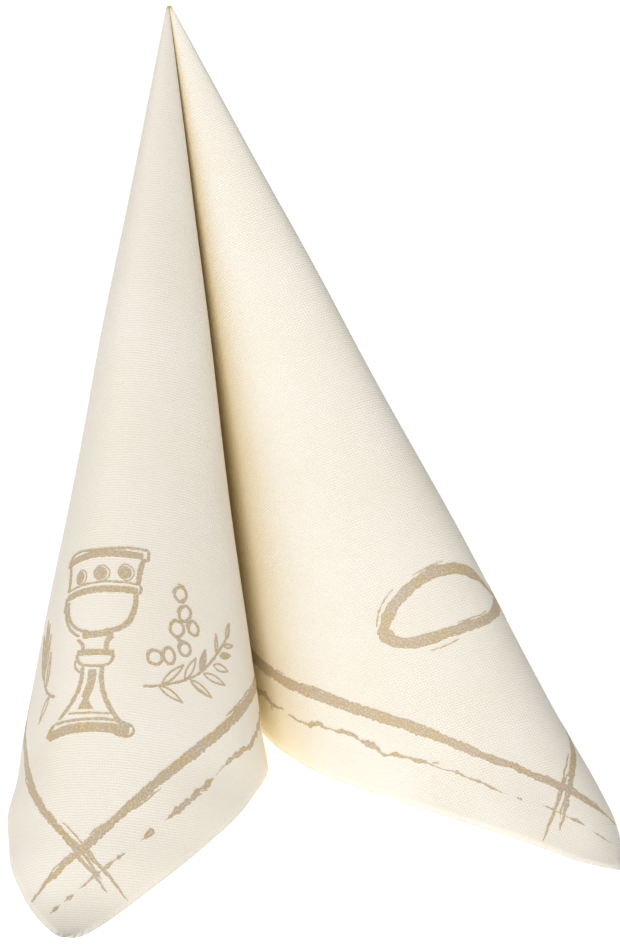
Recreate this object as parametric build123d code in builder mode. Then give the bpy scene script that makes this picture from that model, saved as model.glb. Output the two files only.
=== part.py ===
"""A square paper napkin, picked up at its centre so that it stands as a tent with four lobes.

The paper doesn't stretch. Every straight line from the middle of the flat sheet to its edge stays
straight and keeps its length, and the fold only turns it. So the folded sheet is a cone over a wavy
path, and the path covers as many degrees, seen from the tip, as the flat sheet does: 90 per lobe.

Millimetres, +Z up. The front valley faces -Y. The origin is on the ground, in the middle of the
footprint.
"""

import math
import os

from build123d import *

# The flat sheet.
sheet_side = 400.0
paper_thickness = 0.5
corner_trim = 1.0

# The pinched tip, measured down from the point where the folds would meet.
tip_top_depth = 3.0
tip_base_depth = 10.0

# Creases between the lobes, as (heading seen from above, tilt away from straight down), in degrees.
side_valley_tilt = 4.3
front_valley = (-90.0, 4.4)
right_valley = (0.0, side_valley_tilt)
left_valley = (180.0, side_valley_tilt)
back_valley = (64.5, 3.0)
crease_roundness = 0.6

# The lobes' shapes, in degrees seen from the tip. A point's first value is its tilt along the
# lobe's middle line, and the second is its distance to the side of that line.
front_lobe_turn = 24.6
front_lobe_shape = ((24.0, -10.2), (34.3, -9.9), (41.2, 0.0), (15.4, 9.2), (4.0, 6.6))
back_lobe_turn = 15.6
back_right_shape = ((6.3, -6.4), (16.0, -12.6), (34.0, -6.6), (41.3, 0.0), (34.0, 7.6), (18.0, 1.0))
back_left_shape = ((18.0, -2.75), (34.0, -6.5), (41.95, 0.0), (34.0, 5.05), (16.0, 7.7), (5.0, 9.0))

# The gold print.
ink_thickness = 0.15
thick_line_inset = 20.0
thick_line_width = 3.5
thin_line_inset = 13.5
thin_line_width = 1.5
motif_from_centre = 197.0
pen_width = 1.3
cup_width = 24.0
cup_height = 11.0
bowl_depth = 13.0
stem_height = 26.0
foot_width = 25.0
stud_radius = 1.9
fish_length = 52.0
fish_height = 20.0
fish_nose = -28.0
fish_pen_width = 3.6
grape_radius = 2.1
twig_offset = 24.0
leaf_length = 5.0
leaf_width = 1.8

# How finely the curves are followed.
path_samples = 240
steps_per_half_lobe = 24
steps_between = 10
stroke_samples = 10
small_step = 1e-4
cutter_reach = 1.0

half_side = sheet_side / 2
quarter_turn = 90.0
os.makedirs("parts", exist_ok=True)


def turned(point, heading):
    """A plan point turned about the tip."""
    return Vector(*point).rotate(Axis.Z, heading)


def lobe_path(heading, shape, start, end, reach):
    """A lobe's path on the plan, which meets the valley on each side square to its crease."""
    with BuildLine() as path:
        Spline(
            turned((start[1], 0), start[0]),
            *[turned(point, heading) * reach for point in shape],
            turned((end[1], 0), end[0]),
            tangents=(turned((0, 1), start[0]), turned((0, 1), end[0])),
            tangent_scalars=(crease_roundness, crease_roundness),
        )
    return path.edges()[0]


def direction(point):
    """The way that one straight line of the sheet points, from a point of the plan."""
    tilt = math.radians(math.hypot(point.X, point.Y))
    heading = math.atan2(point.Y, point.X)
    return Vector(
        math.sin(tilt) * math.cos(heading),
        math.sin(tilt) * math.sin(heading),
        -math.cos(tilt),
    )


def sheet_angles(path, spots):
    """The angle of flat sheet used up to each spot of a path."""
    ways = [direction(path @ spot) for spot in spots]
    angles = [0.0]
    for before, after in zip(ways, ways[1:]):
        angles.append(angles[-1] + math.degrees(2 * math.asin((after - before).length / 2)))
    return angles


def evenly(low, high, steps):
    """Spots from low to high, both included."""
    return [low + (high - low) * index / steps for index in range(steps + 1)]


def crease_ray(valley, angle):
    """The line at the bottom of a valley, where the path runs square to it."""
    way = direction(turned((valley[1], 0), valley[0]))
    return way, way.cross(turned((0, 1), valley[0])).normalized(), angle


def lobe_rays(heading, shape, start, end):
    """One lobe's straight lines as (direction, outward normal, angle on the flat sheet).

    The angle is measured from the lobe's diagonal, and runs from -45 to 45 degrees.
    """
    spots = evenly(0, 1, path_samples)
    low, high = 0.5, 1.5
    for _ in range(26):
        reach = (low + high) / 2
        path = lobe_path(heading, shape, start, end, reach)
        angles = sheet_angles(path, spots)
        if angles[-1] < quarter_turn:
            low = reach
        else:
            high = reach
    count = sum(angle < quarter_turn / 2 for angle in angles)
    share = (quarter_turn / 2 - angles[count - 1]) / (angles[count] - angles[count - 1])
    middle = (count - 1 + share) / path_samples
    places = evenly(0, middle, steps_per_half_lobe) + evenly(middle, 1, steps_per_half_lobe)[1:]
    rays = [crease_ray(start, -quarter_turn / 2)]
    for before, place, after in zip(places, places[1:], places[2:]):
        angle = rays[-1][2] + sheet_angles(path, evenly(before, place, steps_between))[-1]
        onward = direction(path @ (place + small_step)) - direction(path @ (place - small_step))
        way = direction(path @ place)
        rays.append((way, way.cross(onward).normalized(), angle))
    rays.append(crease_ray(end, quarter_turn / 2))
    return rays


front_right = lobe_rays(front_valley[0] + front_lobe_turn, front_lobe_shape, front_valley, right_valley)
back_right = lobe_rays(back_valley[0] - back_lobe_turn, back_right_shape, right_valley, back_valley)
back_left = lobe_rays(back_valley[0] + back_lobe_turn, back_left_shape, back_valley, left_valley)
front_left = [
    (Vector(-way.X, way.Y, way.Z), Vector(-normal.X, normal.Y, normal.Z), -angle)
    for way, normal, angle in reversed(front_right)
]
lobes = {
    "front_left": front_left,
    "front_right": front_right,
    "back_right": back_right,
    "back_left": back_left,
}

# The tip stands over the point that puts the footprint's middle on the origin.
corner_reach = half_side * math.sqrt(2)
corner_way, corner_normal, _ = front_right[steps_per_half_lobe]
tip_height = corner_reach * -corner_way.Z + paper_thickness * corner_normal.Z - corner_trim
edge_points = [
    way * (half_side / math.cos(math.radians(quarter_turn / 2 - abs(angle))))
    for rays in lobes.values()
    for way, _, angle in rays
]
tip = Vector(
    -(min(point.X for point in edge_points) + max(point.X for point in edge_points)) / 2,
    -(min(point.Y for point in edge_points) + max(point.Y for point in edge_points)) / 2,
    tip_height,
)


def depth_plane(depth):
    """A rule that ends every ray at one depth below the tip."""

    def place(ray, offset):
        way, normal, _ = ray
        return tip + way * ((depth + offset * normal.Z) / -way.Z) + normal * offset

    return place


def inset_from_edge(inset):
    """A rule that ends every ray where it comes this near to the flat sheet's edge."""

    def place(ray, offset):
        way, normal, angle = ray
        from_square = quarter_turn / 2 - abs(angle)
        distance = (half_side - inset) / math.cos(math.radians(from_square))
        return tip + way * distance + normal * offset

    return place


def curve_through(rays, place, offset):
    """A smooth edge through one point of each ray."""
    first, last = rays[0][2], rays[-1][2]
    shares = [(angle - first) / (last - first) for _, _, angle in rays]
    return Edge.make_spline([place(ray, offset) for ray in rays], parameters=shares)


def ring_of_faces(edges):
    """The ruled faces that join each edge to the next, and the last to the first."""
    return [
        Face.make_surface_from_curves(edge, following)
        for edge, following in zip(edges, edges[1:] + edges[:1])
    ]


def band(parts, upper, lower, inside, outside):
    """The solid between two rules and two offsets from the sheet's visible surface.

    Its parts are runs of rays, such as the two halves of a lobe, one after the other.
    """
    corners = ((upper, outside), (lower, outside), (lower, inside), (upper, inside))
    faces = []
    for rays in parts:
        faces += ring_of_faces([curve_through(rays, place, offset) for place, offset in corners])
    for ray in (parts[0][0], parts[-1][-1]):
        faces.append(Face(Wire.make_polygon([place(ray, offset) for place, offset in corners])))
    return Solid(Shell(faces))


def halves(rays):
    """A lobe's rays before and after its diagonal."""
    return [rays[: steps_per_half_lobe + 1], rays[steps_per_half_lobe:]]


at_tip_base = depth_plane(tip_base_depth)
at_sheet_edge = inset_from_edge(0)


def finish(piece, name):
    """Name a piece and write it."""
    piece.part.label = name
    export_step(piece.part, f"parts/{name}.step")


# The paper from crease to crease: one lobe for each corner of the sheet.
for side, rays in lobes.items():
    whole_lobe = band(halves(rays), at_tip_base, at_sheet_edge, -paper_thickness, 0)
    with BuildPart() as lobe:
        add(whole_lobe.split(Plane.XY, keep=Keep.TOP), clean=False)
    finish(lobe, f"lobe_{side}")


# The paper in the tip, squeezed into one solid peak.
def tip_outline(depth):
    """The four lobes' outline at one depth."""
    rule = depth_plane(depth)
    return [curve_through(half, rule, 0) for rays in lobes.values() for half in halves(rays)]


with BuildPart() as pinched_tip:
    top, base = tip_outline(tip_top_depth), tip_outline(tip_base_depth)
    sides = [Face.make_surface_from_curves(high, low) for high, low in zip(top, base)]
    add(Solid(Shell([Face(Wire(top)), Face(Wire(base)), *sides])))
finish(pinched_tip, "pinched_tip")


# The gold ink. Each line and motif is a thin layer that lies on the paper's visible side.
def printed_line(before, after, inset, width):
    """One line along a sheet edge, printed across the crease between two lobes."""
    upper, lower = inset_from_edge(inset + width / 2), inset_from_edge(inset - width / 2)
    with BuildPart() as line:
        add(band([halves(before)[1], halves(after)[0]], upper, lower, 0, ink_thickness))
    return line


sheet_edges = {
    "front": (front_left, front_right),
    "right": (front_right, back_right),
    "back": (back_right, back_left),
    "left": (back_left, front_left),
}
for side, (before, after) in sheet_edges.items():
    finish(printed_line(before, after, thick_line_inset, thick_line_width), f"thick_line_{side}")
for side in ("front", "back"):
    before, after = sheet_edges[side]
    finish(printed_line(before, after, thin_line_inset, thin_line_width), f"thin_line_{side}")


def on_sheet(rays, point, offset):
    """Where a point of a corner's print comes to lie on a folded lobe.

    The point is (across the diagonal, up towards the sheet's centre), from the motif's middle.
    """
    along = motif_from_centre - point.Y
    angle = math.degrees(math.atan2(point.X, along))
    index = sum(ray[2] <= angle for ray in rays)
    before, after = rays[index - 1], rays[index]
    share = (angle - before[2]) / (after[2] - before[2])
    way = (before[0] * (1 - share) + after[0] * share).normalized()
    normal = (before[1] * (1 - share) + after[1] * share).normalized()
    return tip + way * math.hypot(along, point.X) + normal * offset


def cutter(rays, sides):
    """A solid that cuts one printed mark out of the ink layer, square to the paper.

    The mark lies between two lines on the flat sheet, which may meet at their ends.
    """
    left, right = sides
    high, low = cutter_reach, -cutter_reach
    corners = ((left, high), (right, high), (right, low), (left, low))
    edges = [
        Edge.make_spline([on_sheet(rays, point, offset) for point in line])
        for line, offset in corners
    ]
    faces = ring_of_faces(edges)
    for end in (0, -1):
        if (left[end] - right[end]).length > small_step:
            outline = [on_sheet(rays, line[end], offset) for line, offset in corners]
            faces.append(Face.make_surface(Wire.make_polygon(outline)))
    return Solid(Shell(faces))


def stroke(points, width):
    """A pen stroke of even width through these points."""
    with BuildLine() as middle:
        Spline(*points) if len(points) > 2 else Line(*points)
    spots = evenly(0, 1, stroke_samples)
    aside = [(middle.line % spot).rotate(Axis.Z, 90) * (width / 2) for spot in spots]
    centres = [middle.line @ spot for spot in spots]
    left = [centre + step for centre, step in zip(centres, aside)]
    right = [centre - step for centre, step in zip(centres, aside)]
    return left, right


def oval(centre, length, width, angle=0.0):
    """A filled oval mark, such as a stud, a grape or a leaf."""
    turns = [math.radians(180 * spot) for spot in evenly(0, 1, stroke_samples)]
    upper = [Vector(math.cos(turn) * length / 2, math.sin(turn) * width / 2) for turn in turns]
    lower = [Vector(point.X, -point.Y) for point in upper]
    middle = Vector(*centre)
    return [[middle + point.rotate(Axis.Z, angle) for point in half] for half in (upper, lower)]


def chalice_marks():
    """A chalice with a banded and studded cup, a round knob and a wide foot."""
    half_cup = cup_width / 2
    cup_top = (cup_height + bowl_depth + stem_height) / 2
    cup_bottom = cup_top - cup_height
    bowl_bottom = cup_bottom - bowl_depth
    foot = bowl_bottom - stem_height
    band_middle = (cup_top + cup_bottom) / 2
    marks = []
    for height in (cup_top, cup_bottom):
        marks.append(stroke([(-half_cup, height), (half_cup, height)], pen_width * 1.5))
    for place in (-1, 0, 1):
        centre = (place * half_cup * 0.55, band_middle)
        marks.append(oval(centre, 2 * stud_radius, 2 * stud_radius))
    for side in (-1, 1):
        wall = side * (half_cup - pen_width)
        marks.append(stroke([(wall, cup_top - pen_width), (wall, cup_bottom + pen_width)], pen_width))
        bowl = [
            (wall, cup_bottom - pen_width),
            (wall * 0.85, cup_bottom - bowl_depth / 2),
            (side * 4, bowl_bottom),
        ]
        stem = [
            (side * 3, bowl_bottom - 7),
            (side * 4, foot + stem_height / 3),
            (side * foot_width * 0.36, foot + 3),
        ]
        marks += [stroke(bowl, pen_width), stroke(stem, pen_width)]
    marks.append(oval((0, bowl_bottom - 3.5), 13, 4))
    marks.append(stroke([(-foot_width / 2, foot), (foot_width / 2, foot)], pen_width * 2.5))
    return marks


def fish_marks():
    """Two crossing arcs: a fish with its nose to one side. The lower arc stops at the upper one."""
    nose, tail = fish_nose, fish_nose + fish_length
    high, low = fish_height * 0.62, -fish_height * 0.38
    fullest = nose + fish_length * 0.46
    crossing = nose + fish_length * 0.78
    upper = [(nose, 2.5), (fullest, high), (crossing, -2.0), (tail, low * 1.3)]
    lower = [(nose + 3, -0.5), (fullest, low), (crossing - 4, -4.0)]
    tail_stroke = [(crossing + 3, 0.5), (tail, high * 0.75)]
    return [stroke(points, fish_pen_width) for points in (upper, lower, tail_stroke)]


def grapes_marks(side):
    """A bunch of grapes over a leafy twig, on one side of the chalice."""
    twig = [(-11, -9.5), (0, -6.5), (8, 1), (14, 11)]
    grapes = [(-1, 19), (1, 14.4), (-1, 9.8), (4, 11), (1, 5), (-4, 2), (-8.5, 0.5)]
    lower_leaves = [
        ((-9, -12.5), 30),
        ((-4.5, -10.5), -30),
        ((2, -9), -45),
        ((8, -4.5), -20),
        ((13, 2), 0),
    ]
    upper_leaves = [((-5, -4.5), 120), ((1, -2), 100), ((6, 3.5), 95), ((10, 9), 100), ((16, 13), 50)]
    marks = [stroke(twig, pen_width / 2)]
    marks += [oval(centre, 2 * grape_radius, 2 * grape_radius) for centre in grapes]
    for centre, angle in lower_leaves + upper_leaves:
        marks.append(oval(centre, leaf_length, leaf_width, angle))
    return [shifted(mark, side) for mark in marks]


def wheat_marks(side):
    """An ear of wheat on a bent stalk, on one side of the chalice."""
    marks = [stroke([(-8, -18), (-3, -8), (-1, -4)], pen_width / 2)]
    for step in range(5):
        for hand in (-1, 1):
            centre = (step - 1 + hand * 1.7, 3.8 * step - 1.5)
            marks.append(oval(centre, leaf_length, leaf_width, 85 - hand * 25))
    marks.append(oval((-1.5, -14), leaf_length, leaf_width, 30))
    return [shifted(mark, side) for mark in marks]


def shifted(mark, side):
    """A mark moved and turned to its own side of the diagonal: -1 or 1."""
    return [[Vector(side * (point.X + twig_offset), point.Y) for point in line] for line in mark]


def printed_motif(name, side, marks):
    """Cut a motif's marks out of the ink layer that covers a whole lobe."""
    rays = lobes[side]
    with BuildPart() as motif:
        add(band(halves(rays), at_tip_base, at_sheet_edge, 0, ink_thickness))
        add([cutter(rays, mark) for mark in marks], mode=Mode.INTERSECT)
    finish(motif, f"{name}_{side}")


for side in ("front_left", "back_right"):
    printed_motif("chalice", side, chalice_marks())
    printed_motif("grapes", side, grapes_marks(1))
    printed_motif("wheat", side, wheat_marks(-1))
for side in ("front_right", "back_left"):
    printed_motif("fish", side, fish_marks())
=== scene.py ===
"""A cream paper napkin with gold print, picked up at its centre so that it stands as a tent.

The sheet and its print are drawn flat, in metres, and then folded by one formula: every straight
line from the sheet's centre keeps its length, and the fold only turns it. On the flat sheet x runs
to the right and y to the back, as seen from above with the printed side up.
"""

import math

import bpy
import numpy as np
from mathutils import Matrix, Vector


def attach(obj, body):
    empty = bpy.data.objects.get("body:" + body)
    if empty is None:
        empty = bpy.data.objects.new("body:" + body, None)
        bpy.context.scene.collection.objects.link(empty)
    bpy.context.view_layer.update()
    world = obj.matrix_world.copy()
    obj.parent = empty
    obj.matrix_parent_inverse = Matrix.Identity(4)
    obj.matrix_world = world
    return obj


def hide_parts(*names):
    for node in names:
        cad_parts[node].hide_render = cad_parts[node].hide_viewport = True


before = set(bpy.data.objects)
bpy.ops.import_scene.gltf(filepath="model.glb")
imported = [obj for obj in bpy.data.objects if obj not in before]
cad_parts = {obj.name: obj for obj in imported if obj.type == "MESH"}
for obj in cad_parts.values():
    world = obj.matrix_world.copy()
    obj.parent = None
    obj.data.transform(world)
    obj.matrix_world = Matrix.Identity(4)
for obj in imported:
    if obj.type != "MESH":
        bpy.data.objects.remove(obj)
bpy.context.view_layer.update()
random = np.random.default_rng(7)

# The sheet.
HALF_SIDE = 0.2
PAPER_THICKNESS = 0.00045
TABLE_GAP = 0.0012
RAYS = 1080
ROWS = 100

# The tip: where the fold's straight lines meet, the ring where the paper starts, and the smaller
# rings that close it, each as (share of the first ring, height above it).
TIP = Vector((-0.019952, -0.007517, 0.211961))
TIP_RADIUS = 0.0034
TIP_RINGS = ((0.72, 0.0005), (0.36, 0.0008))
TIP_TOP = 0.0009

# How unevenly the sheet stands: fine ripples near its edge, and broad waves all over.
EDGE_BAND = 0.035
RIPPLE_SIZE = 0.0005
WAVE_SIZE = 0.0006

# The creases between the lobes, as (heading seen from above, tilt from straight down), in degrees,
# and the lobes' shapes, where each point is its tilt along the lobe's middle line and its place
# beside that line.
SIDE_VALLEY_TILT = 4.3
FRONT_VALLEY = (-90.0, 4.4)
RIGHT_VALLEY = (0.0, SIDE_VALLEY_TILT)
LEFT_VALLEY = (180.0, SIDE_VALLEY_TILT)
BACK_VALLEY = (64.5, 3.0)
CREASE_ROUNDNESS = 0.6
FRONT_TURN = 24.6
FRONT_SHAPE = ((24.0, -10.2), (34.3, -9.9), (41.2, 0.0), (15.4, 9.2), (4.0, 6.6))
BACK_TURN = 15.6
BACK_RIGHT_SHAPE = ((6.3, -6.4), (16.0, -12.6), (34.0, -6.6), (41.3, 0.0), (34.0, 7.6), (18.0, 1.0))
BACK_LEFT_SHAPE = ((18.0, -2.75), (34.0, -6.5), (41.95, 0.0), (34.0, 5.05), (16.0, 7.7), (5.0, 9.0))
PATH_SPOTS = 2400
FOLD_STEPS = 1801

# The print.
INK_TOP = 0.0001
INK_BOTTOM = -0.00006
INK_LAYER = 0.00001
INK_STEP = 0.0003
STROKE_END = 0.0012
RING_SPOTS = 40
OVAL_SPOTS = 24
LEAF_SPOTS = 26
MOTIF_FROM_CENTRE = 0.197
CHALICE_HEIGHT = 0.955
THICK_INSET = 0.020
THICK_HALF = 0.00142
THIN_INSET = 0.0135
THIN_HALF = 0.00066
LEAST_HALF = 0.00006

# The front and back lines look drawn by hand: at these places they stray from straight by so much.
BOW_PLACES = (-0.2, -0.18, -0.14, -0.1, -0.04, 0.04, 0.1, 0.15, 0.18, 0.2)
THICK_BOW = (-0.001, 0.0, 0.0022, 0.0028, 0.0019, 0.0015, 0.0011, 0.0, -0.0015, -0.0028)
THIN_BOW = (-0.0024, -0.0012, -0.0005, -0.0002, -0.0004, -0.0009, -0.0011, -0.0014, -0.0026, -0.004)

# The camera's place: it looks at the napkin from the front left, a little from above.
CAMERA_AZIMUTH = -17.4
CAMERA_ELEVATION = 20.4
CAMERA_DISTANCE = 1.198
TIP_TO_THE_RIGHT = -0.04095
TIP_ABOVE_AXIS = 0.13639
CAMERA_LENS = 158.3

# One soft lamp on the front left, a dim white room, and a floor that glows like a light table.
KEY_PLACE = (-0.80, -1.52, 0.80)
KEY_TARGET = (0, 0, 0.09)
KEY_SIZE = 0.7
KEY_POWER = 16.4
ROOM_COLOUR = (1.0, 0.995, 0.985, 1.0)
ROOM_STRENGTH = 0.34
FLOOR_GLOW = 0.72
FLOOR_REACH = 12.0


# ---------------------------------------------------------------- the fold


def turned(point, heading):
    """A plan point turned about the tip, in degrees."""
    angle = math.radians(heading)
    x, y = point
    return (x * math.cos(angle) - y * math.sin(angle), x * math.sin(angle) + y * math.cos(angle))


def smooth_curve(points, first_slope, last_slope, spots):
    """Even spots along a cubic spline through the points, with given slopes at its two ends."""
    points = np.array(points, float)
    spans = np.linalg.norm(np.diff(points, axis=0), axis=1)
    knots = np.concatenate([[0.0], np.cumsum(spans)])
    system = np.eye(len(points))
    wanted = np.zeros_like(points)
    wanted[0], wanted[-1] = first_slope, last_slope
    for i in range(1, len(points) - 1):
        before, after = spans[i - 1], spans[i]
        system[i, i - 1 : i + 2] = 1 / before, 2 / before + 2 / after, 1 / after
        rise_before = (points[i] - points[i - 1]) / before**2
        rise_after = (points[i + 1] - points[i]) / after**2
        wanted[i] = 3 * (rise_before + rise_after)
    slopes = np.linalg.solve(system, wanted)
    where = np.linspace(0, knots[-1], spots)
    index = np.clip(np.searchsorted(knots, where, side="right") - 1, 0, len(spans) - 1)
    span = spans[index][:, None]
    t = ((where - knots[index]) / spans[index])[:, None]
    start = (1 + 2 * t) * (1 - t) ** 2 * points[index] + t * (1 - t) ** 2 * span * slopes[index]
    end = t**2 * (3 - 2 * t) * points[index + 1] + t**2 * (t - 1) * span * slopes[index + 1]
    return start + end


def directions(plan):
    """Unit vectors from plan points, whose distance from the middle is the tilt in degrees."""
    tilt = np.radians(np.hypot(plan[:, 0], plan[:, 1]))
    heading = np.arctan2(plan[:, 1], plan[:, 0])
    sideways = np.sin(tilt)
    return np.stack([sideways * np.cos(heading), sideways * np.sin(heading), -np.cos(tilt)], axis=1)


def sheet_angle(ways):
    """The angle of flat sheet used up to each direction, in degrees."""
    steps = 2 * np.arcsin(np.linalg.norm(np.diff(ways, axis=0), axis=1) / 2)
    return np.concatenate([[0.0], np.degrees(np.cumsum(steps))])


def lobe_ways(heading, shape, start, end):
    """One lobe's directions at even steps of 90 degrees of flat sheet."""
    low, high = 0.5, 1.5
    for _ in range(26):
        reach = (low + high) / 2
        middle = [tuple(reach * np.array(turned(point, heading))) for point in shape]
        points = [turned((start[1], 0), start[0]), *middle, turned((end[1], 0), end[0])]
        first = CREASE_ROUNDNESS * np.array(turned((0, 1), start[0]))
        last = CREASE_ROUNDNESS * np.array(turned((0, 1), end[0]))
        ways = directions(smooth_curve(points, first, last, PATH_SPOTS))
        angles = sheet_angle(ways)
        if angles[-1] < 90:
            low = reach
        else:
            high = reach
    even = np.linspace(0, angles[-1], FOLD_STEPS)
    return np.stack([np.interp(even, angles, ways[:, axis]) for axis in range(3)], axis=1)


def fold_table():
    """Directions and outward normals all round the sheet, from the left valley anticlockwise."""
    front = FRONT_VALLEY[0] + FRONT_TURN
    front_right = lobe_ways(front, FRONT_SHAPE, FRONT_VALLEY, RIGHT_VALLEY)
    front_left = front_right[::-1] * np.array([-1.0, 1.0, 1.0])
    back_right = lobe_ways(BACK_VALLEY[0] - BACK_TURN, BACK_RIGHT_SHAPE, RIGHT_VALLEY, BACK_VALLEY)
    back_left = lobe_ways(BACK_VALLEY[0] + BACK_TURN, BACK_LEFT_SHAPE, BACK_VALLEY, LEFT_VALLEY)
    lobes = (front_left, front_right, back_right, back_left)
    ways = np.concatenate([lobe[:-1] for lobe in lobes])
    ways /= np.linalg.norm(ways, axis=1)[:, None]
    onward = np.roll(ways, -1, axis=0) - np.roll(ways, 1, axis=0)
    normals = np.cross(ways, onward)
    normals /= np.linalg.norm(normals, axis=1)[:, None]
    return ways, normals


WAYS, NORMALS = fold_table()
TABLE_STEP = 360.0 / len(WAYS)


def looked_up(table, angle):
    """A table's rows at sheet angles in degrees from the left valley."""
    place = (angle % 360.0) / TABLE_STEP
    low = np.floor(place).astype(int)
    share = (place - low)[:, None]
    low = low % len(table)
    rows = table[low] * (1 - share) + table[(low + 1) % len(table)] * share
    return rows / np.linalg.norm(rows, axis=1)[:, None]


def eased(value, low, high):
    """0 below low, 1 above high, and smooth in between."""
    t = np.clip((value - low) / (high - low), 0, 1)
    return t * t * (3 - 2 * t)


# How each corner bends near its point: (its quarter, where the bend begins, its radius).
CORNER_BENDS = (
    ((-1, -1), 0.2665, 0.026),
    ((-1, -1), 0.2775, 0.0042),
    ((1, -1), 0.2700, 0.022),
    ((1, 1), 0.266, 0.028),
    ((-1, 1), 0.266, 0.028),
)


def corner_bend(flat, points):
    """Bends the sheet's four corners outwards, where they rest on the table."""
    for (right, back), begin, radius in CORNER_BENDS:
        heading = math.degrees(math.atan2(back, right)) + 180
        way = looked_up(WAYS, np.array([heading]))[0]
        normal = looked_up(NORMALS, np.array([heading]))[0]
        along = (flat[:, 0] * right + flat[:, 1] * back) / math.sqrt(2) - begin
        past = np.clip(along, 0, None)[:, None]
        points = points + way * (radius * np.sin(past / radius) - past)
        points = points + normal * (radius * (1 - np.cos(past / radius)))
    return points


def waviness(flat):
    """How far the sheet stands in or out from its even fold, in metres."""
    x, y = flat[:, 0], flat[:, 1]
    to_edge = HALF_SIDE - np.maximum(np.abs(x), np.abs(y))
    near_edge = 1 - eased(to_edge, 0.0, EDGE_BAND)
    ripple = np.sin(x * 121 + 0.8) * np.sin(y * 97 + 2.1) + 0.5 * np.sin((x + y) * 205 + 0.4)
    wave = np.sin(x * 47 + 1.9) * np.sin(y * 41 + 0.3)
    away_from_tip = eased(np.hypot(x, y), 0.04, 0.12)
    return RIPPLE_SIZE * near_edge * ripple + WAVE_SIZE * wave * away_from_tip


def folded(flat, offset):
    """Where points of the flat sheet come to lie. A positive offset is above the printed side.

    What would come lower than TABLE_GAP is pressed up smoothly, and stays above the table.
    """
    flat = np.asarray(flat, float)
    angle = np.degrees(np.arctan2(flat[:, 1], flat[:, 0])) + 180
    reach = np.hypot(flat[:, 0], flat[:, 1])[:, None]
    lift = (waviness(flat) + offset)[:, None]
    points = np.array(TIP) + looked_up(WAYS, angle) * reach + looked_up(NORMALS, angle) * lift
    points = corner_bend(flat, points)
    height = points[:, 2]
    pressed = TABLE_GAP * np.exp(height / TABLE_GAP - 1)
    points[:, 2] = np.where(height < TABLE_GAP, pressed, height)
    return points


# ---------------------------------------------------------------- meshes


def new_piece(name, points, faces, flat, material):
    """A mesh object with the flat sheet's coordinates as its UV map."""
    mesh = bpy.data.meshes.new(name)
    mesh.from_pydata([tuple(point) for point in points], [], faces)
    layer = mesh.uv_layers.new(name="sheet")
    corners = np.empty(len(mesh.loops), int)
    mesh.loops.foreach_get("vertex_index", corners)
    layer.data.foreach_set("uv", np.asarray(flat, float)[corners].ravel())
    mesh.polygons.foreach_set("use_smooth", [True] * len(mesh.polygons))
    mesh.materials.append(material)
    piece = bpy.data.objects.new(name, mesh)
    bpy.context.scene.collection.objects.link(piece)
    return piece


def flat_grid():
    """Points of the flat sheet, in rings from near its centre out to its square edge."""
    angles = np.arange(RAYS) * 360.0 / RAYS
    from_square = np.radians((angles + 45) % 90 - 45)
    edge = HALF_SIDE / np.cos(from_square)
    shares = np.linspace(0, 1, ROWS + 1)
    reach = TIP_RADIUS + shares[:, None] * (edge - TIP_RADIUS)
    heading = np.radians(angles - 180)
    return np.stack([reach * np.cos(heading), reach * np.sin(heading)], axis=2).reshape(-1, 2)


def band(low, high):
    """Faces between two rings of points, given the first point of each."""
    faces = []
    for ray in range(RAYS):
        after = (ray + 1) % RAYS
        faces.append((low + ray, low + after, high + after, high + ray))
    return faces


def fan(ring, middle):
    """Faces between a ring of points and one point."""
    return [(ring + ray, ring + (ray + 1) % RAYS, middle) for ray in range(RAYS)]


def tip_cap(ring):
    """Two smaller rings of points and a top one, which round off the tip."""
    middle = ring.mean(axis=0)
    rings = [middle + (ring - middle) * share + np.array([0, 0, rise]) for share, rise in TIP_RINGS]
    return [*rings, [middle + np.array([0, 0, TIP_TOP])]]


def sheet_piece(material):
    """The napkin: its printed side, its inner side, the cut edge between them, and the tip."""
    flat = flat_grid()
    count = len(flat)
    distance = np.hypot(flat[:, 0], flat[:, 1])
    thickness = PAPER_THICKNESS * (0.1 + 0.9 * eased(distance, 0.006, 0.05))
    outer = folded(flat, np.zeros(count))
    inner = folded(flat, -thickness)
    edge_ring = ROWS * RAYS
    faces = []
    for ring in range(0, edge_ring, RAYS):
        faces += band(ring + RAYS, ring)
        faces += band(count + ring, count + ring + RAYS)
    faces += band(count + edge_ring, edge_ring)
    first_ring = 2 * count
    second_ring = first_ring + RAYS
    top = second_ring + RAYS
    faces += band(0, first_ring) + band(first_ring, second_ring) + fan(second_ring, top)
    faces += [face[::-1] for face in fan(count, top + 1)]
    inner_middle = inner[:RAYS].mean(axis=0)
    points = np.concatenate([outer, inner, *tip_cap(outer[:RAYS]), [inner_middle]])
    small_rings = [flat[:RAYS] * share for share, _ in TIP_RINGS]
    flats = np.concatenate([flat, flat, *small_rings, [[0, 0]], [[0, 0]]])
    return new_piece("napkin_sheet", points, faces, flats, material)


# ---------------------------------------------------------------- pen and brush


def rough(count, softness, size):
    """A random wobble along a stroke, smoothed over so many of its steps."""
    if count < 2:
        return np.zeros(count)
    wobble = random.normal(size=count + 6 * softness)
    window = np.hanning(2 * softness + 1)
    smooth = np.convolve(wobble, window / np.linalg.norm(window), mode="same")
    return size * smooth[3 * softness : 3 * softness + count]


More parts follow.
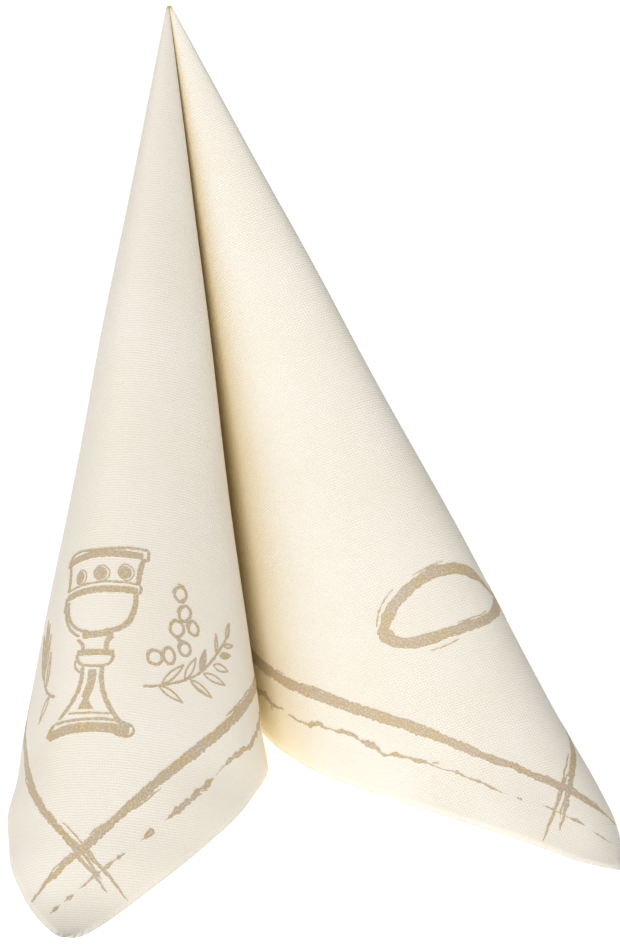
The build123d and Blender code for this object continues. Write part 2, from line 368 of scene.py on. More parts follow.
def pen_line(points, step=INK_STEP):
    """Even spots and their left-hand directions along a smooth line through a few points."""
    points = np.array(points, float)
    if len(points) == 2:
        dense = points[0] + np.linspace(0, 1, 200)[:, None] * (points[1] - points[0])
    else:
        dense = smooth_curve(points, *end_slopes(points), 60 * len(points))
    lengths = np.concatenate([[0], np.cumsum(np.linalg.norm(np.diff(dense, axis=0), axis=1))])
    count = max(4, int(lengths[-1] / step) + 1)
    even = np.linspace(0, lengths[-1], count)
    centre = np.stack([np.interp(even, lengths, dense[:, axis]) for axis in range(2)], axis=1)
    along = np.gradient(centre, axis=0)
    along /= np.linalg.norm(along, axis=1)[:, None]
    return centre, np.stack([-along[:, 1], along[:, 0]], axis=1)


def end_slopes(points):
    """Slopes for a line's two ends that carry on its first and last bends."""
    spans = np.linalg.norm(np.diff(points, axis=0), axis=1)
    rises = np.diff(points, axis=0) / spans[:, None]
    first = 1.5 * rises[0] - 0.5 * rises[1]
    last = 1.5 * rises[-1] - 0.5 * rises[-2]
    return first / np.linalg.norm(first), last / np.linalg.norm(last)


class Ink:
    """One printed piece, gathered as ribbons on the flat sheet."""

    def __init__(self):
        self.flat = []
        self.faces = []
        self.count = 0

    def ribbon(self, left, right):
        """A strip between two lines of equally many points, closed all round."""
        layers = [left, (left + right) / 2, right]
        across = len(layers)
        rows = len(left)
        block = np.stack(layers, axis=1).reshape(-1, 2)
        start, under = self.count, len(block)
        self.flat += [block, block]
        self.count += 2 * under

        def spot(row, column):
            return start + row * across + column

        def wall(a, b):
            self.faces.append((a, b, b + under, a + under))

        for row in range(rows - 1):
            for column in range(across - 1):
                a, b = spot(row, column), spot(row, column + 1)
                c, d = spot(row + 1, column + 1), spot(row + 1, column)
                self.faces.append((a, b, c, d))
                self.faces.append((a + under, d + under, c + under, b + under))
            wall(spot(row, 0), spot(row + 1, 0))
            wall(spot(row + 1, across - 1), spot(row, across - 1))
        for column in range(across - 1):
            wall(spot(0, column + 1), spot(0, column))
            wall(spot(rows - 1, column), spot(rows - 1, column + 1))

    def stroke(self, points, width, ragged=0.00006, taper=(0.5, 0.5), swell=0.0):
        """A pen stroke of even width with slightly uneven edges and narrowed ends."""
        centre, aside = pen_line(points)
        count = len(centre)
        share = np.linspace(0, 1, count)
        ends = np.minimum(1, taper[0] + share * count * INK_STEP / STROKE_END)
        ends = np.minimum(ends, taper[1] + (1 - share) * count * INK_STEP / STROKE_END)
        half = width / 2 * ends * (1 + swell * np.sin(math.pi * share))
        left = centre + aside * (half + rough(count, 2, ragged))[:, None]
        right = centre - aside * (half + rough(count, 2, ragged))[:, None]
        self.ribbon(left, right)

    def ring(self, centre, length, width, turn, pen):
        """An outlined oval, such as a grape, drawn with a pen of this width."""
        spots = np.linspace(0, 2 * math.pi, RING_SPOTS)
        wobble = 1 + rough(RING_SPOTS, 3, 0.06) * np.sin(spots / 2)
        way = np.stack([np.cos(spots), np.sin(spots)], axis=1) * wobble[:, None]
        outer = way * np.array([length / 2, width / 2])
        inner = way * np.array([length / 2 - pen, width / 2 - pen])
        self.ribbon(placed(inner, centre, turn), placed(outer, centre, turn))

    def blob(self, centre, length, width, turn=0.0):
        """A filled oval."""
        x = np.cos(np.linspace(math.pi, 0, OVAL_SPOTS))
        half = np.sqrt(np.clip(1 - x**2, 0.002, 1)) * width / 2 + rough(OVAL_SPOTS, 2, 0.00004)
        upper = np.stack([x * length / 2, half], axis=1)
        lower = np.stack([x * length / 2, -half], axis=1)
        self.ribbon(placed(upper, centre, turn), placed(lower, centre, turn))

    def leaf(self, base, point, width, pen, filled=0.0):
        """A pointed leaf's outline from its base to its point, with ink over a share of its width."""
        base, point = np.array(base, float), np.array(point, float)
        length = np.linalg.norm(point - base)
        turn = math.degrees(math.atan2(*(point - base)[::-1]))
        centre = (base + point) / 2
        x = np.linspace(-1, 1, LEAF_SPOTS)
        belly = (1 - x**2) ** 0.8 * (1 - 0.25 * x)
        outset = 0.00005
        for side in (-1, 1):
            edge = side * width / 2 * belly
            inner_edge = edge - side * pen * (0.75 + 0.25 * belly)
            outer = np.stack([x * length / 2, edge + side * outset], axis=1)
            inner = np.stack([x * length / 2 * 0.96, inner_edge], axis=1)
            left, right = (outer, inner) if side > 0 else (inner, outer)
            self.ribbon(placed(left, centre, turn), placed(right, centre, turn))
        if filled:
            low = np.stack([x * length / 2 * 0.95, -width / 2 * belly * 0.95], axis=1)
            high = np.stack([x * length / 2 * 0.95, width / 2 * belly * (2 * filled - 1)], axis=1)
            self.ribbon(placed(high, centre, turn), placed(low, centre, turn))

    def piece(self, name, material, to_sheet):
        """The folded mesh of all that was drawn."""
        flat = to_sheet(np.concatenate(self.flat))
        lifts = [np.full(len(block), lift) for block, lift in zip(self.flat, self.lifts())]
        points = folded(flat, np.concatenate(lifts))
        piece = new_piece(name, points, self.faces, flat, material)
        piece.data.set_sharp_from_angle(angle=math.radians(40))
        return piece

    def lifts(self):
        """The height of each block: a ribbon's top, then its underside.

        Ribbons that cross differ a little in height, so that their tops don't share one surface.
        """
        order = range(len(self.flat) // 2)
        tops = [INK_TOP + INK_LAYER * (index % 4) for index in order]
        return [height for top in tops for height in (top, INK_BOTTOM)]


def placed(points, centre, turn):
    """Points turned by some degrees and moved to a centre."""
    angle = math.radians(turn)
    x, y = points[:, 0], points[:, 1]
    turned_x = x * math.cos(angle) - y * math.sin(angle)
    turned_y = x * math.sin(angle) + y * math.cos(angle)
    return np.stack([turned_x, turned_y], axis=1) + np.array(centre)


def millimetres(*pairs):
    """Points given in millimetres, in metres."""
    return [(x / 1000, y / 1000) for x, y in pairs]


def corner_rule(right, back, height=1.0):
    """A rule that lays a motif into a corner: its y points at the sheet's centre."""
    outward = np.array([right, back]) / math.sqrt(2)
    aside = np.array([-outward[1], outward[0]])

    def rule(points):
        return outward * (MOTIF_FROM_CENTRE - height * points[:, 1:2]) + aside * points[:, :1]

    return rule


def side_rule(turn):
    """A rule that lays a line along one edge, from the front edge's own coordinates."""

    def rule(points):
        along_edge = np.stack([points[:, 0], points[:, 1] - HALF_SIDE], axis=1)
        return placed(along_edge, (0, 0), turn)

    return rule


# ---------------------------------------------------------------- the motifs


def chalice():
    """A cup with a studded band, a knob and a tall foot, drawn with a broad pen."""
    ink = Ink()
    pen = 0.0008
    rim = ((-13.0, 25.8), (-5.4, 27.6), (2.6, 28.4), (9.2, 28.6))
    ink.stroke(millimetres(*rim), 0.0021, taper=(0.8, 0.8))
    rim_top = ((-13.3, 25.0), (-12.8, 27.2), (-4.5, 29.2), (4.5, 30.4), (10.4, 30.8))
    ink.stroke(millimetres(*rim_top), pen)
    ink.stroke(millimetres((10.4, 30.8), (10.8, 29.0), (10.4, 27.6), (9.0, 28.0)), pen)
    ink.stroke(millimetres((-12.4, 25.4), (-11.7, 21.5), (-11.7, 17.0)), 0.0011)
    ink.stroke(millimetres((9.5, 27.8), (8.7, 23.5), (8.6, 19.8)), 0.0015)
    for x, y, wide in ((-7.8, 21.0, 2.6), (-2.0, 22.0, 3.7), (4.5, 22.9, 3.9)):
        ink.blob((x / 1000, y / 1000), wide / 1000, 0.0039)
        ink.ring(((x + 0.4) / 1000, y / 1000), wide / 1000 + 0.0009, 0.0050, 0, 0.00035)
    lower_band = ((-11.7, 15.2), (-5.1, 16.6), (1.8, 17.5), (8.6, 17.8))
    ink.stroke(millimetres(*lower_band), 0.0020, taper=(0.7, 0.8))
    ink.stroke(millimetres((-12.0, 17.2), (-5.2, 18.8), (1.8, 19.7), (8.9, 19.9)), 0.0006)
    ink.stroke(millimetres((8.9, 19.9), (9.5, 18.8), (9.1, 17.2), (8.2, 17.0)), pen)
    ink.stroke(millimetres((-12.3, 15.5), (-12.5, 13.0), (-12.6, 11.0)), pen)
    ink.stroke(millimetres((-12.0, 15.0), (-11.3, 9.2), (-9.1, 5.2), (-5.9, 2.8)), pen)
    ink.stroke(millimetres((-10.9, 14.0), (-9.9, 8.6), (-7.1, 5.4), (-3.6, 4.2)), 0.0009)
    bowl_right = ((8.1, 17.0), (7.9, 11.0), (5.9, 7.0), (2.3, 5.0), (0.4, 4.6))
    ink.stroke(millimetres(*bowl_right), 0.0013, swell=0.25)
    ink.stroke(millimetres((-5.1, 2.9), (-0.9, 3.7), (3.0, 4.5)), 0.0020, taper=(0.7, 0.6))
    ink.stroke(millimetres((-6.5, 1.9), (-5.1, 0.6), (-4.4, -1.6)), 0.0009)
    ink.stroke(millimetres((3.3, 3.4), (1.7, 1.6), (1.9, -0.8)), 0.0013)
    ink.stroke(millimetres((-6.1, -2.2), (-0.9, -1.8), (3.9, -1.5)), 0.0018, taper=(0.8, 0.8))
    ink.stroke(millimetres((-6.1, -2.6), (-5.3, -5.0), (-1.3, -5.9), (2.7, -4.9), (3.8, -1.8)), pen)
    ink.stroke(millimetres((-6.4, -4.2), (-6.1, -6.6), (-4.4, -8.2)), 0.0006)
    left_wall = ((-4.2, -6.2), (-4.4, -11.5), (-6.4, -17.0), (-10.1, -21.6))
    right_wall = ((1.2, -5.8), (1.5, -11.2), (3.8, -17.0), (7.8, -21.9))
    ink.stroke(millimetres(*left_wall), 0.0010, swell=0.2)
    ink.stroke(millimetres(*right_wall), 0.0012, swell=0.2)
    ink.stroke(millimetres((-1.4, -7.0), (-1.5, -11.0), (-2.7, -15.6)), 0.0022, taper=(0.9, 0.7))
    ink.stroke(millimetres((-4.0, -18.4), (-2.2, -16.0), (-2.0, -15.0)), 0.0012)
    ink.ribbon(
        np.array(millimetres((-4.4, -18.9), (-3.7, -17.2), (-3.1, -15.4))),
        np.array(millimetres((0.1, -18.6), (-1.0, -17.3), (-2.0, -15.3))),
    )
    ink.stroke(millimetres((-7.0, -20.2), (-1.1, -19.8), (4.7, -19.4)), 0.0006)
    foot = ((-13.7, -26.6), (-7.1, -24.9), (-0.1, -24.0), (10.2, -23.5))
    ink.stroke(millimetres(*foot), 0.0029, taper=(0.3, 0.7))
    ink.stroke(millimetres((-11.4, -22.9), (-2.5, -21.8), (7.8, -21.4), (11.2, -22.3)), pen)
    ink.stroke(millimetres((11.2, -22.3), (11.5, -23.3), (11.0, -24.6), (5.9, -25.0)), pen)
    ink.stroke(millimetres((-11.6, -22.8), (-13.1, -24.4), (-14.0, -26.6)), 0.0012)
    return ink


def grapes():
    """Seven outlined grapes over a leafy twig."""
    ink = Ink()
    fine = 0.0005
    pen = 0.0009
    outline_scale = 1 / 920  # Metres for each millimetre, with room for the pen's width.
    for x, y, wide, tall in (
        (21.5, 19.3, 4.4, 4.6),
        (23.4, 14.1, 4.2, 5.2),
        (21.3, 9.2, 4.9, 5.0),
        (26.6, 10.6, 4.0, 4.6),
        (24.4, 4.0, 4.2, 4.2),
        (19.6, 0.9, 4.0, 5.0),
        (15.4, -0.6, 4.8, 4.6),
    ):
        size = (outline_scale * wide, outline_scale * tall)
        ink.ring((x / 1000, y / 1000), *size, 20 * math.sin(x), pen)
        ink.stroke(millimetres((x - 2.1, y - 0.6), (x - 1.6, y + 1.4), (x - 0.2, y + 2.1)), pen)
    ink.stroke(millimetres((20.2, 21.9), (21.2, 22.0), (22.6, 21.6)), fine)
    ink.stroke(millimetres((22.6, 16.8), (22.4, 17.6), (22.2, 18.2)), 0.0010)
    ink.stroke(millimetres((21.6, 6.8), (22.6, 6.0), (23.4, 6.2)), 0.0013)
    twig = ((12.7, -9.4), (17.3, -8.3), (23.6, -5.6), (29.3, -2.0), (34.9, 4.6), (39.4, 11.8))
    ink.stroke(millimetres(*twig), 0.0007)
    leaves = (
        ((17.3, -8.2), (25.4, -11.3), 2.2, 0),
        ((27.0, -4.3), (35.1, -7.2), 2.3, 0.4),
        ((31.2, -1.2), (40.0, -2.0), 2.3, 0),
        ((34.6, 2.2), (40.8, 2.4), 2.4, 0),
        ((36.9, 5.6), (41.6, 7.4), 2.0, 0.8),
        ((38.4, 9.0), (42.7, 10.6), 1.5, 0),
        ((39.2, 11.3), (40.5, 16.9), 1.9, 0.5),
        ((18.2, -7.6), (24.6, -0.4), 2.2, 0),
        ((25.2, -4.6), (28.4, 2.6), 2.3, 0),
        ((30.2, -1.2), (31.4, 6.0), 2.2, 0.85),
        ((35.6, 5.6), (34.9, 11.8), 1.4, 0),
    )
    for base, point, width, filled in leaves:
        ink.leaf(*millimetres(base, point), width / 1000, fine, filled)
    return ink


def wheat():
    """An ear of wheat on a bent stalk, with one loose grain below it."""
    ink = Ink()
    fine = 0.0006
    ink.stroke(millimetres((-12.6, -13.6), (-17.0, -11.4), (-20.6, -6.0), (-22.6, 2.0)), 0.0008)
    grains = (
        ((-17.8, -9.6), (-17.6, 0.6), 0),
        ((-20.6, -5.4), (-19.4, 6.4), 0),
        ((-21.8, -1.6), (-22.2, 10.4), 0),
        ((-22.4, 1.6), (-25.4, 12.4), 0.5),
        ((-20.0, -7.4), (-25.6, 1.0), 0),
        ((-21.4, -3.6), (-27.6, 4.8), 0),
        ((-22.4, 0.6), (-29.0, 8.8), 0),
    )
    for base, point, filled in grains:
        ink.leaf(*millimetres(base, point), 0.0019, fine, filled)
    ink.leaf(*millimetres((-15.2, -12.6), (-20.4, -19.6)), 0.0022, fine)
    return ink


def fish():
    """Two crossing arcs with a broad dry brush."""
    ink = Ink()
    back = ((-28.2, 2.4), (-23.2, 7.2), (-13.6, 11.2), (-2.4, 11.2), (5.0, 6.6), (10.4, -0.2))
    belly = ((-27.8, 2.4), (-24.0, -1.6), (-15.0, -4.4), (-3.0, -5.8), (5.0, -4.8), (11.2, -0.6))
    back_to_tail = (*back, (21.0, -9.4))
    belly_to_tail = (*belly, (21.6, 9.6))
    brush(ink, millimetres(*back_to_tail), 0.0033, (0.9, 0.35), 0.00022, late_width=0.5)
    brush(ink, millimetres(*belly_to_tail), 0.0031, (0.9, 0.30), 0.00018, late_width=0.9)
    ink.blob((-0.0270, 0.0016), 0.0040, 0.0046, 60)
    ink.stroke(millimetres((-28.4, 5.2), (-25.2, 9.4), (-19.6, 12.6)), 0.0004)
    ink.stroke(millimetres((-18.0, -7.6), (-14.0, -8.1), (-9.6, -8.0)), 0.0003)
    return ink


def brush(ink, points, width, taper, ragged, late_width=1.0):
    """A broad brush stroke: a ragged body and a few loose bristle lines along its edges."""
    centre, aside = pen_line(points)
    count = len(centre)
    share = np.linspace(0, 1, count)
    length = count * INK_STEP
    shape = np.minimum(1, taper[0] + share * length / 0.006)
    shape = np.minimum(shape, taper[1] + (1 - share) * length / 0.012)
    shape = shape * (1 - (1 - late_width) * eased(share, 0.45, 0.8))
    half = width / 2 * shape
    drift = rough(count, 40, 0.00012)
    left_edge = half + rough(count, 4, 0.6 * ragged) + rough(count, 14, 0.8 * ragged)
    right_edge = half + rough(count, 4, 0.6 * ragged) + rough(count, 14, 0.8 * ragged)
    brush_body(ink, centre, aside, drift, left_edge, right_edge, 0.00008)
    number = max(2, int(length / 0.016))
    last_start = max(1, count - 12)
    lengths, gaps = (0.003, 0.013), (0.00015, 0.0006)
    bristles(ink, centre, aside, half, number, last_start, lengths, gaps, 0.00022)


def brush_body(ink, centre, aside, drift, left_edge, right_edge, least):
    """The solid part of a brush stroke, at least this wide on each side of its drifting middle."""
    ink.ribbon(
        centre + aside * (drift + np.maximum(left_edge, least))[:, None],
        centre + aside * (drift - np.maximum(right_edge, least))[:, None],
    )


def bristles(ink, centre, aside, half, number, last_start, lengths, gaps, thickest):
    """Loose bristle lines along a stroke's two edges, at random places."""
    for _ in range(number):
        start = random.integers(0, last_start)
        stop = min(len(centre), start + int(random.uniform(*lengths) / INK_STEP))
        side = 1 if random.random() < 0.5 else -1
        away = side * (half[start:stop] + random.uniform(*gaps))
        thickness = random.uniform(0.00010, thickest)
        bristle(ink, centre[start:stop], aside[start:stop], away, thickness)


def bristle(ink, centre, aside, away, half):
    """One thin line that a single bristle leaves, pointed at both ends."""
    count = len(centre)
    if count < 5:
        return
    share = np.linspace(0, 1, count)
    width = half * np.sin(math.pi * share) ** 0.6 + 0.00003 + rough(count, 2, half * 0.15)
    place = away + rough(count, 6, 0.00010)
    ink.ribbon(
        centre + aside * (place + width)[:, None],
        centre + aside * (place - width)[:, None],
    )


def thick_line(split):
    """The broad line along one edge. Past each corner crossing it thins out or splits in two."""
    ink = Ink()
    end = HALF_SIDE - 0.0015
    solid, left_taper, right_taper = (0.184, 0.016, 0.016) if split else (end, 0.022, 0.026)
    centre, aside = pen_line([(-solid, THICK_INSET), (0, THICK_INSET), (solid, THICK_INSET)])
    if not split:
        centre[:, 1] += np.interp(centre[:, 0], BOW_PLACES, THICK_BOW)
    count = len(centre)
    along = centre[:, 0]
    left_run = np.clip((along + solid) / left_taper, 0.12, 1)
    right_run = np.clip((solid - along) / right_taper, 0.12, 1)
    narrow = 1 - 0.28 * np.exp(-(((np.abs(along) - 0.165) / 0.016) ** 2))
    half = THICK_HALF * np.minimum(left_run, right_run) ** 0.7 * narrow
    drift = rough(count, 60, 0.00018)
    left_edge = half + rough(count, 2, 0.00013) + rough(count, 14, 0.00016)
    right_edge = half + rough(count, 2, 0.00013) + rough(count, 14, 0.00016)
    brush_body(ink, centre, aside, drift, left_edge, right_edge, LEAST_HALF)
    lengths, gaps = (0.004, 0.018), (0.0, 0.00045)
    bristles(ink, centre, aside, half, 46, count - 60, lengths, gaps, 0.00024)
    if split:
        for hand in (-1, 1):
            split_end(ink, hand, end)
    return ink


def split_end(ink, hand, end):
    """Four streaks that carry a thick line on towards the sheet's edge."""
    for first, last, start_off, end_off, half in (
        (0.176, end, 0.0008, 0.0022, 0.00042),
        (0.174, 0.1935, -0.0009, -0.0014, 0.00050),
        (0.178, 0.190, -0.0001, -0.0002, 0.00026),
        (0.170, 0.186, 0.0017, 0.0019, 0.00022),
    ):
        line = [
            (hand * first, THICK_INSET + start_off),
            (hand * (first + last) / 2, THICK_INSET + (start_off + end_off) / 2 + 0.0002),
            (hand * last, THICK_INSET + end_off),
        ]
        centre, aside = pen_line(line)
        bristle(ink, centre, aside, np.zeros(len(centre)), half)


def thin_line():
    """The thin line nearer the edge. It is ragged, and breaks into dashes towards the corners."""
    ink = Ink()
    end = HALF_SIDE - 0.003
    centre, aside = pen_line([(-end, THIN_INSET), (0, THIN_INSET), (end, THIN_INSET)])
    centre[:, 1] += np.interp(centre[:, 0], BOW_PLACES, THIN_BOW)
    count = len(centre)
    fade = eased(np.abs(centre[:, 0]), 0.130, 0.160)
    half = THIN_HALF * (1 - 0.55 * fade) + rough(count, 3, 0.00018) + rough(count, 12, 0.00022)
    gaps = rough(count, 9, 1.0) - 2.3 + 2.1 * fade
    drift = rough(count, 9, 0.00030) * (1 - 0.6 * fade) + rough(count, 50, 0.0004)
    dashes(ink, centre, aside, drift, np.maximum(half, 0.00012), gaps <= 0)
    frayed(ink, centre, aside, drift)
    return ink


def dashes(ink, centre, aside, drift, half, drawn):
    """The stretches of a line that are drawn, each narrowed at its two ends."""
    edges = np.flatnonzero(np.diff(np.concatenate([[0], drawn.astype(int), [0]])))
    for start, stop in zip(edges[::2], edges[1::2]):
        if stop - start < 4:
            continue
        share = np.linspace(0, 1, stop - start)
        wide = half[start:stop] * np.clip(np.sin(math.pi * share) * 3, 0.15, 1)
        place = drift[start:stop]
        ink.ribbon(
            centre[start:stop] + aside[start:stop] * (place + wide)[:, None],
            centre[start:stop] + aside[start:stop] * (place - wide * 0.8)[:, None],
        )


def frayed(ink, centre, aside, drift):
    """Short bristle lines that lean away from a thin line, most of them near its middle."""
    count = len(centre)
    for _ in range(44):
        start = int(abs(random.normal(0, 0.32)) * count / 2)
        start = np.clip(count // 2 + (start if random.random() < 0.5 else -start), 2, count - 40)
        stop = start + int(random.uniform(0.0012, 0.0045) / INK_STEP)
        side = 1 if random.random() < 0.6 else -1
        slope = np.linspace(0, random.uniform(0.0002, 0.0012), stop - start)
        away = drift[start:stop] + side * (0.0006 + slope)
        bristle(ink, centre[start:stop], aside[start:stop], away, random.uniform(0.00010, 0.00024))


# ---------------------------------------------------------------- materials


class Nodes:
    """A short way to add shader nodes to one material."""

    def __init__(self, name):
        self.material = bpy.data.materials.new(name)
        self.material.use_nodes = True
        self.tree = self.material.node_tree
        self.shader = self.tree.nodes["Principled BSDF"]

    def add(self, kind, inputs=None, **settings):
        """One node, with its settings and with values or links for its inputs."""
        node = self.tree.nodes.new(kind)
        for key, value in settings.items():
            setattr(node, key, value)
        for key, value in (inputs or {}).items():
            if isinstance(value, bpy.types.NodeSocket):
                self.tree.links.new(value, node.inputs[key])
            else:
                node.inputs[key].default_value = value
        return node

    def link(self, output, socket):
        """A link from an output to one of the shader's sockets."""
        self.tree.links.new(output, self.shader.inputs[socket])

    def maths(self, operation, first, second=0.5):
        """The result of one sum."""
        return self.add("ShaderNodeMath", {0: first, 1: second}, operation=operation).outputs[0]

    def blend(self, share, first, second):
        """One colour mixed into another."""
        node = self.add("ShaderNodeMix", data_type="RGBA")
        for index, value in ((0, share), (6, first), (7, second)):
            socket = node.inputs[index]
            if isinstance(value, bpy.types.NodeSocket):
                self.tree.links.new(value, socket)
            else:
                socket.default_value = value
        return node.outputs[2]

    def stepped(self, value, low, high):
        """A value stretched so that low becomes 0 and high becomes 1."""
        node = self.add("ShaderNodeMapRange", {0: value, 1: low, 2: high, 3: 0.0, 4: 1.0})
        return node.outputs[0]


def linear(red, green, blue):
    """A colour given as screen values from 0 to 255, in the shader's own linear values."""
    parts = [value / 255 for value in (red, green, blue)]
    return (*[p / 12.92 if p <= 0.04045 else ((p + 0.055) / 1.055) ** 2.4 for p in parts], 1.0)


PAPER_COLOUR = linear(247, 241, 230)
PAPER_SHADE = linear(244, 236, 221)
# Painted light: the yellow of the light that bounces between the walls of the folds and shines
# through the paper there.
PAINTED_FOLD_LIGHT = linear(255, 229, 138)
INK_TAUPE = linear(194, 176, 153)
INK_GOLD = linear(197, 173, 122)
INK_PALE = linear(229, 215, 195)
INK_WORN = linear(228, 216, 196)

# The linen emboss: how far apart its dents are each way, and how far they stray.
EMBOSS_ACROSS = 0.00115
EMBOSS_ALONG = 0.00100
EMBOSS_STRAY = 0.0009


def emboss(nodes, sheet):
    """The linen emboss: small dents in rows, a millimetre apart, each a little different."""
    bent = nodes.add("ShaderNodeTexNoise", {"Vector": sheet, "Scale": 260.0, "Detail": 2.0})
    shift = nodes.add(
        "ShaderNodeVectorMath", {0: bent.outputs["Color"], "Scale": EMBOSS_STRAY}, operation="SCALE"
    )
    moved = nodes.add("ShaderNodeVectorMath", {0: sheet, 1: shift.outputs[0]}, operation="ADD")
    parts = nodes.add("ShaderNodeSeparateXYZ", {0: moved.outputs[0]})
    across = nodes.maths("MULTIPLY", parts.outputs[0], 2 * math.pi / EMBOSS_ACROSS)
    along = nodes.maths("MULTIPLY", parts.outputs[1], 2 * math.pi / EMBOSS_ALONG)
    rows = nodes.maths("MULTIPLY", nodes.maths("SINE", across), nodes.maths("SINE", along))
    fibres = nodes.add(
        "ShaderNodeTexNoise", {"Vector": sheet, "Scale": 1500.0, "Detail": 4.0, "Roughness": 0.7}
    )
    uneven = nodes.maths("MULTIPLY", fibres.outputs["Fac"], 1.1)
    return nodes.maths("ADD", nodes.maths("MULTIPLY", rows, 0.5), uneven)


def painted_fold_light_share(nodes, sheet):
    """How deep in a fold the paper lies, as the share of painted yellow light: 1 along the creases to
    the middles of the sheet's edges.

    This yellow is painted light. It stands for the light there, which has passed through the cream
    paper and between its walls, and is yellower.
    """
    parts = nodes.add("ShaderNodeSeparateXYZ", {0: sheet})
    across = nodes.maths("ABSOLUTE", parts.outputs[0])
    along = nodes.maths("ABSOLUTE", parts.outputs[1])
    least = nodes.maths("MINIMUM", across, along)
    most = nodes.maths("MAXIMUM", nodes.maths("MAXIMUM", across, along), 0.004)
    return nodes.maths("POWER", nodes.stepped(nodes.maths("DIVIDE", least, most), 0.60, 0.20), 1.4)


def paper_material():
    """Soft matt airlaid paper, cream, with a fine linen emboss, a few faint fibres, painted shade in
    the emboss's low parts and painted yellow light along its creases.
    """
    nodes = Nodes("cream_airlaid_paper")
    sheet = nodes.add("ShaderNodeUVMap", uv_map="sheet").outputs[0]
    height = emboss(nodes, sheet)
    cloud = nodes.add("ShaderNodeTexNoise", {"Vector": sheet, "Scale": 38.0, "Detail": 3.0})
    # Painted shade: where the emboss lies low, in its dents and between its fibres, the paper's
    # colour is mixed a little towards PAPER_SHADE.
    dents = nodes.stepped(height, -0.1, 1.2)
    mottled = nodes.blend(nodes.stepped(cloud.outputs["Fac"], 0.3, 0.7), PAPER_SHADE, PAPER_COLOUR)
    low = nodes.blend(0.35, mottled, PAPER_SHADE)
    surface = nodes.blend(dents, low, mottled)
    # Painted light: along the creases the paper's colour turns yellow, for light that shone through
    # the paper and bounced between the walls of the folds.
    nodes.link(nodes.blend(painted_fold_light_share(nodes, sheet), surface, PAINTED_FOLD_LIGHT), "Base Color")
    bump = nodes.add("ShaderNodeBump", {"Height": height, "Strength": 0.9, "Distance": 0.00010})
    nodes.link(bump.outputs[0], "Normal")
    rough_part = nodes.add("ShaderNodeMapRange", {0: height, 1: -0.2, 2: 1.2, 3: 0.96, 4: 0.84})
    nodes.link(rough_part.outputs[0], "Roughness")
    shader = nodes.shader.inputs
    shader["Specular IOR Level"].default_value = 0.25
    shader["Sheen Weight"].default_value = 0.08
    shader["Sheen Roughness"].default_value = 0.5
    return nodes.material


def ink_material():
    """Matt gold ink: fine grains of gold and taupe, with paper showing where the brush ran dry."""
    nodes = Nodes("matt_gold_ink")
    sheet = nodes.add("ShaderNodeUVMap", uv_map="sheet").outputs[0]
    height = emboss(nodes, sheet)
    grain = nodes.add(
        "ShaderNodeTexNoise", {"Vector": sheet, "Scale": 1700.0, "Detail": 4.0, "Roughness": 0.75}
    )
    patches = nodes.add("ShaderNodeTexNoise", {"Vector": sheet, "Scale": 140.0, "Detail": 3.0})
    dry = nodes.add(
        "ShaderNodeTexNoise", {"Vector": sheet, "Scale": 900.0, "Detail": 5.0, "Roughness": 0.8}
    )
    tone = nodes.blend(nodes.stepped(patches.outputs["Fac"], 0.38, 0.68), INK_TAUPE, INK_GOLD)
    speckled = nodes.blend(nodes.stepped(grain.outputs["Fac"], 0.46, 0.66), tone, INK_PALE)
    worn = nodes.stepped(dry.outputs["Fac"], 0.60, 0.70)
    nodes.link(nodes.blend(worn, speckled, INK_WORN), "Base Color")
    bump = nodes.add("ShaderNodeBump", {"Height": height, "Strength": 0.6, "Distance": 0.00008})
    nodes.link(bump.outputs[0], "Normal")
    rough_part = nodes.add(
        "ShaderNodeMapRange", {0: grain.outputs["Fac"], 1: 0.3, 2: 0.7, 3: 0.5, 4: 0.75}
    )
    nodes.link(rough_part.outputs[0], "Roughness")
    nodes.shader.inputs["Metallic"].default_value = 0.1
    nodes.shader.inputs["Specular IOR Level"].default_value = 0.4
    return nodes.material


def floor_material():
    """A plain pale table top."""
    nodes = Nodes("pale_floor")
    place = nodes.add("ShaderNodeTexCoord").outputs["Object"]
    cloud = nodes.add("ShaderNodeTexNoise", {"Vector": place, "Scale": 3.0, "Detail": 2.0})
    tone = nodes.blend(cloud.outputs["Fac"], (0.93, 0.93, 0.93, 1), (0.95, 0.95, 0.95, 1))
    nodes.link(tone, "Base Color")
    nodes.shader.inputs["Roughness"].default_value = 0.9
    nodes.shader.inputs["Emission Color"].default_value = (1.0, 1.0, 1.0, 1.0)
    nodes.shader.inputs["Emission Strength"].default_value = FLOOR_GLOW
    nodes.shader.inputs["Specular IOR Level"].default_value = 0.1
    return nodes.material


# ---------------------------------------------------------------- the pieces

paper = paper_material()
gold_ink = ink_material()
napkin = sheet_piece(paper)
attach(napkin, "root")
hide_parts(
    "lobe_front_left",
    "lobe_front_right",
    "lobe_back_right",
    "lobe_back_left",
    "pinched_tip",
)


def add_print(ink, node, to_sheet):
    """One printed piece in place of its CAD node."""
    piece = ink.piece(f"printed_{node}", gold_ink, to_sheet)
    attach(piece, "root")
    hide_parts(node)


thick_lines = (("front", 0, False), ("right", 90, True), ("back", 180, False), ("left", 270, True))
for edge, turn, split in thick_lines:
    add_print(thick_line(split), f"thick_line_{edge}", side_rule(turn))
for edge, turn in (("front", 0), ("back", 180)):
    add_print(thin_line(), f"thin_line_{edge}", side_rule(turn))
motifs = (("chalice", chalice, CHALICE_HEIGHT), ("grapes", grapes, 1), ("wheat", wheat, 1))
for corner, right, back in (("front_left", -1, -1), ("back_right", 1, 1)):
    for name, motif, height in motifs:
        add_print(motif(), f"{name}_{corner}", corner_rule(right, back, height))
for corner, right, back in (("front_right", 1, -1), ("back_left", -1, 1)):
    add_print(fish(), f"fish_{corner}", corner_rule(right, back))

# ---------------------------------------------------------------- floor, light and camera

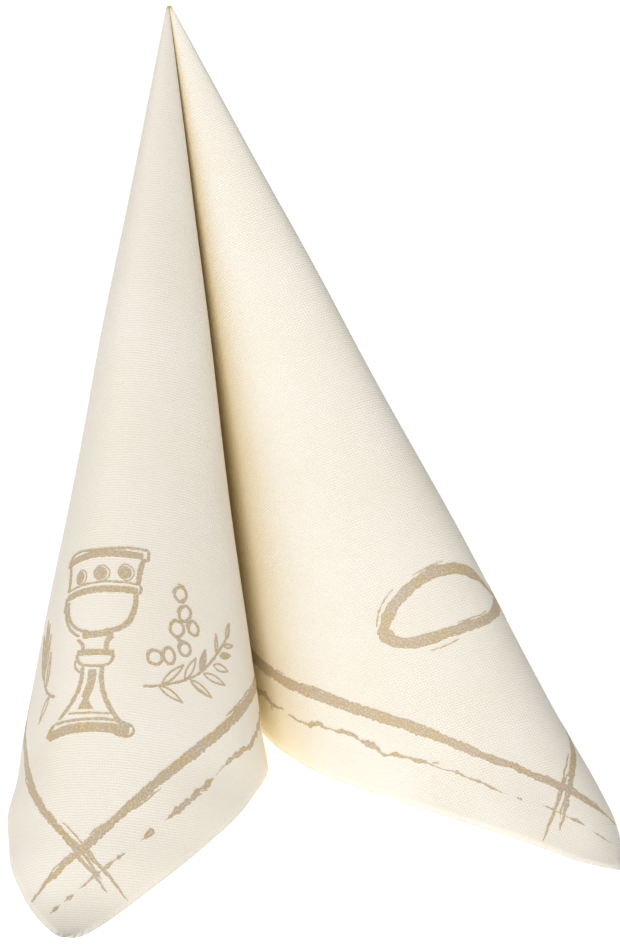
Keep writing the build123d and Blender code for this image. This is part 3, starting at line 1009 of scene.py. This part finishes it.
floor_mesh = bpy.data.meshes.new("floor")
floor_signs = ((-1, -1), (1, -1), (1, 1), (-1, 1))
floor_corners = [(FLOOR_REACH * x, FLOOR_REACH * y, 0) for x, y in floor_signs]
floor_mesh.from_pydata(floor_corners, [], [(0, 1, 2, 3)])
floor_mesh.materials.append(floor_material())
floor = bpy.data.objects.new("floor", floor_mesh)
bpy.context.scene.collection.objects.link(floor)

world = bpy.data.worlds.new("studio")
bpy.context.scene.world = world
world.use_nodes = True
background = world.node_tree.nodes["Background"].inputs
background["Color"].default_value = ROOM_COLOUR
background["Strength"].default_value = ROOM_STRENGTH


def soft_light(name, place, target, size, power):
    """A large square lamp that points at a spot."""
    lamp = bpy.data.lights.new(name, "AREA")
    lamp.size = size
    lamp.energy = power
    holder = bpy.data.objects.new(name, lamp)
    holder.location = place
    holder.rotation_mode = "QUATERNION"
    holder.rotation_quaternion = (Vector(target) - Vector(place)).to_track_quat("-Z", "Y")
    bpy.context.scene.collection.objects.link(holder)


soft_light("key", KEY_PLACE, KEY_TARGET, KEY_SIZE, KEY_POWER)


def place_camera():
    """The camera, so many metres from the tip along its own axis."""
    azimuth, elevation = math.radians(CAMERA_AZIMUTH), math.radians(CAMERA_ELEVATION)
    right = Vector((math.cos(azimuth), math.sin(azimuth), 0))
    level_back = Vector((math.sin(azimuth), -math.cos(azimuth), 0))
    back = level_back * math.cos(elevation) + Vector((0, 0, math.sin(elevation)))
    up = back.cross(right)
    data = bpy.data.cameras.new("camera")
    data.lens = CAMERA_LENS
    data.sensor_width = 36.0
    data.clip_start = 0.05
    data.clip_end = 60.0
    camera = bpy.data.objects.new("camera", data)
    place = TIP - right * TIP_TO_THE_RIGHT - up * TIP_ABOVE_AXIS + back * CAMERA_DISTANCE
    turn = Matrix((right, up, back)).transposed().to_4x4()
    camera.matrix_world = Matrix.Translation(place) @ turn
    bpy.context.scene.collection.objects.link(camera)
    bpy.context.scene.camera = camera


place_camera()
bpy.context.scene.view_settings.view_transform = "Standard"
bpy.context.scene.view_settings.look = "None"
